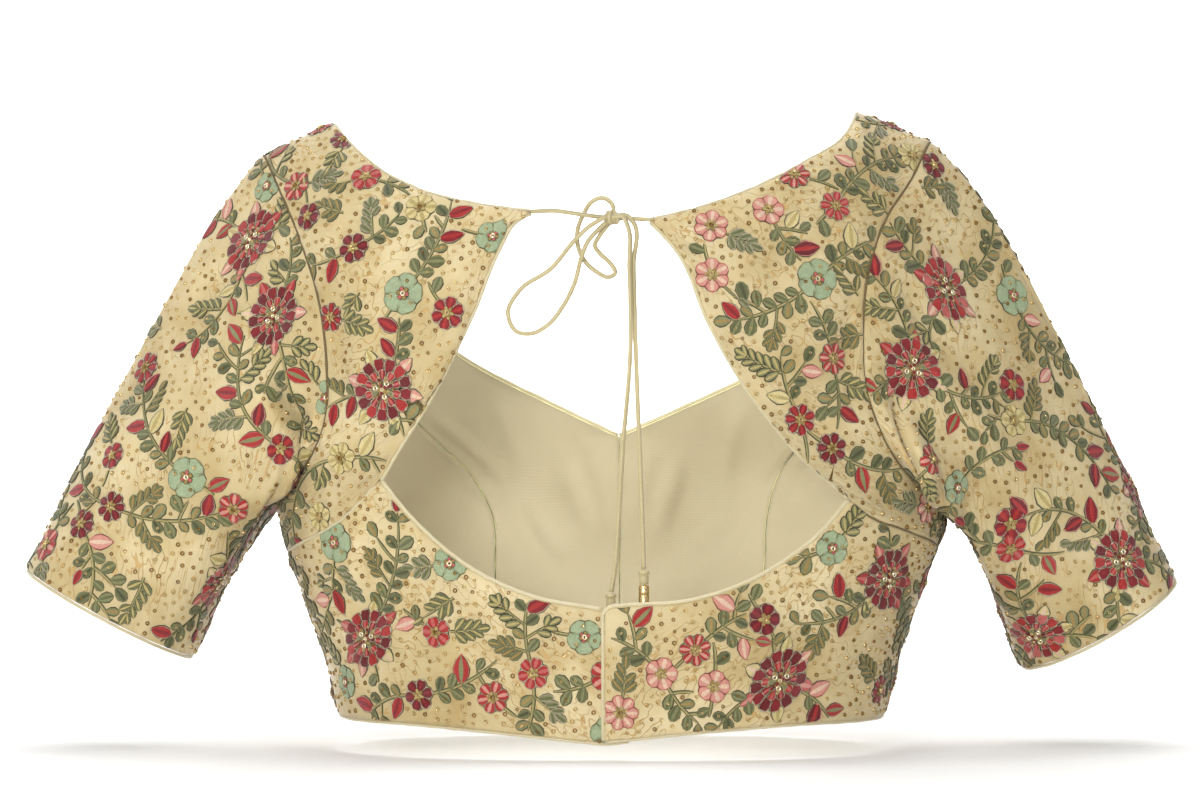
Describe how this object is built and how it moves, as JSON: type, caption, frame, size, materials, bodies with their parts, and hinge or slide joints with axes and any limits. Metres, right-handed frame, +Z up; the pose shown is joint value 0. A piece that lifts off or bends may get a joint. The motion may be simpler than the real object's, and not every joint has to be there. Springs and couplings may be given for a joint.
{
  "type": "sari blouse",
  "caption": "Cropped sari blouse with elbow sleeves, princess-seamed cups, a keyhole back tied by a corded bow, and floral embroidery.",
  "frame": {"origin": "on the wearer's midline, level with the inner ends of the shoulder seams, over the ridge of the shoulders", "axes": "+X towards the wearer's right, +Y forwards, +Z up"},
  "size_m": [0.6369, 0.2223, 0.342],
  "materials": {
    "embroidered_silk": "woven silk with thread embroidery and ring sequins",
    "lining_satin": "plain satin",
    "piping_satin": "satin bias piping",
    "tie_cord": "satin-covered cord",
    "brass": "polished"
  },
  "bodies": {
    "root": {"back_band_left": "embroidered_silk", "back_band_right": "embroidered_silk", "back_flap_left": "embroidered_silk", "back_flap_right": "embroidered_silk", "cord_cap_left": "brass", "cord_cap_right": "brass", "cord_knot": "tie_cord", "cord_lead_left": "tie_cord", "cord_lead_right": "tie_cord", "cord_loop_large": "tie_cord", "cord_loop_small": "tie_cord", "cord_stopper_left": "tie_cord", "cord_stopper_right": "tie_cord", "cord_tail_left": "tie_cord", "cord_tail_right": "tie_cord", "edging_cuff_left": "piping_satin", "edging_cuff_right": "piping_satin", "edging_hem_left": "piping_satin", "edging_hem_right": "piping_satin", "front_centre_left": "embroidered_silk", "front_centre_right": "embroidered_silk", "front_side_left": "embroidered_silk", "front_side_right": "embroidered_silk", "lining_front_centre_left": "lining_satin", "lining_front_centre_right": "lining_satin", "lining_front_side_left": "lining_satin", "lining_front_side_right": "lining_satin", "piping_band_left": "piping_satin", "piping_band_right": "piping_satin", "piping_keyhole_left": "piping_satin", "piping_keyhole_right": "piping_satin", "piping_neck_back_left": "piping_satin", "piping_neck_back_right": "piping_satin", "piping_neck_front_left": "piping_satin", "piping_neck_front_right": "piping_satin", "sleeve_left": "embroidered_silk", "sleeve_right": "embroidered_silk"}
  },
  "joints": []
}
